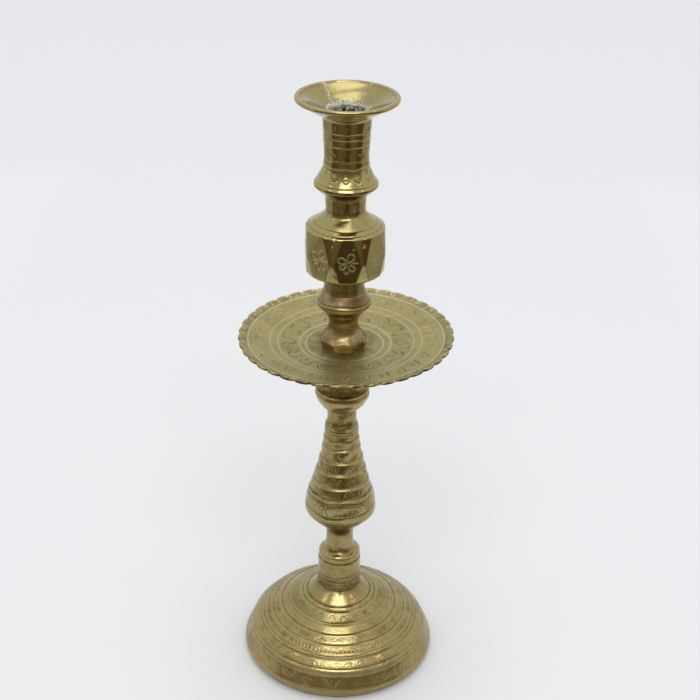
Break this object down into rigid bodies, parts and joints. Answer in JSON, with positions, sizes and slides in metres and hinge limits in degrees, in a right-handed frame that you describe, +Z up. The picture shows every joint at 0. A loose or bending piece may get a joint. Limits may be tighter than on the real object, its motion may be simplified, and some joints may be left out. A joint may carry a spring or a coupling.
{
  "type": "candlestick",
  "caption": "Turned and engraved brass candlestick with a domed hollow foot, a ringed stem, a scalloped drip tray, a faceted knop and a dished candle socket.",
  "frame": {"origin": "on the table under the middle of the foot, on the candlestick's own axis", "axes": "+Z up along the axis, towards the candle; -Y towards the viewer of the picture, +X to their right"},
  "size_m": [0.1358, 0.1358, 0.4],
  "materials": {
    "aged_brass": "cast and turned, dull olive patina",
    "rubbed_brass": "cast and turned, rubbed bright by handling",
    "stud_brass": "threaded rod, unpolished"
  },
  "bodies": {
    "foot_body": {"foot": "aged_brass"},
    "foot_stud_body": {"foot_stud": "stud_brass"},
    "lower_body": {"lower_stem": "aged_brass", "tray_collar": "aged_brass"},
    "tray_body": {"drip_tray": "rubbed_brass"},
    "tray_stud_body": {"tray_stud": "stud_brass"},
    "spool_body": {"upper_spool": "aged_brass"},
    "knop_stud_body": {"knop_stud": "stud_brass"},
    "knop_body": {"knop": "rubbed_brass"},
    "socket_stud_body": {"socket_stud": "stud_brass"},
    "socket_body": {"candle_socket": "rubbed_brass"}
  },
  "joints": [
    {"name": "foot_screw_rise", "type": "slide", "parent": "foot_body", "child": "lower_body", "axis": [0, 0, 1], "range_m": [0, 0.009]},
    {"name": "foot_screw_turn", "type": "hinge", "parent": "foot_body", "child": "foot_stud_body", "pos_m": [0, 0, 0.074], "axis": [0, 0, 1], "range_deg": [0, 2161]},
    {"name": "tray_turn", "type": "hinge", "parent": "lower_body", "child": "tray_body", "pos_m": [0, 0, 0.237], "axis": [0, 0, 1], "continuous": true},
    {"name": "tray_screw_rise", "type": "slide", "parent": "lower_body", "child": "spool_body", "axis": [0, 0, 1], "range_m": [0, 0.009]},
    {"name": "tray_screw_turn", "type": "hinge", "parent": "lower_body", "child": "tray_stud_body", "pos_m": [0, 0, 0.2045], "axis": [0, 0, 1], "range_deg": [0, 2161]},
    {"name": "knop_screw_rise", "type": "slide", "parent": "spool_body", "child": "knop_body", "axis": [0, 0, 1], "range_m": [0, 0.009]},
    {"name": "knop_screw_turn", "type": "hinge", "parent": "spool_body", "child": "knop_stud_body", "pos_m": [0, 0, 0.2883], "axis": [0, 0, 1], "range_deg": [0, 2161]},
    {"name": "socket_screw_rise", "type": "slide", "parent": "knop_body", "child": "socket_body", "axis": [0, 0, 1], "range_m": [0, 0.009]},
    {"name": "socket_screw_turn", "type": "hinge", "parent": "knop_body", "child": "socket_stud_body", "pos_m": [0, 0, 0.3385], "axis": [0, 0, 1], "range_deg": [0, 2161]}
  ],
  "couplings": [
    {"joint": "foot_screw_turn", "follows": "foot_screw_rise", "rad_per_m": 4188.8},
    {"joint": "tray_screw_turn", "follows": "tray_screw_rise", "rad_per_m": 4188.8},
    {"joint": "knop_screw_turn", "follows": "knop_screw_rise", "rad_per_m": 4188.8},
    {"joint": "socket_screw_turn", "follows": "socket_screw_rise", "rad_per_m": 4188.8}
  ]
}
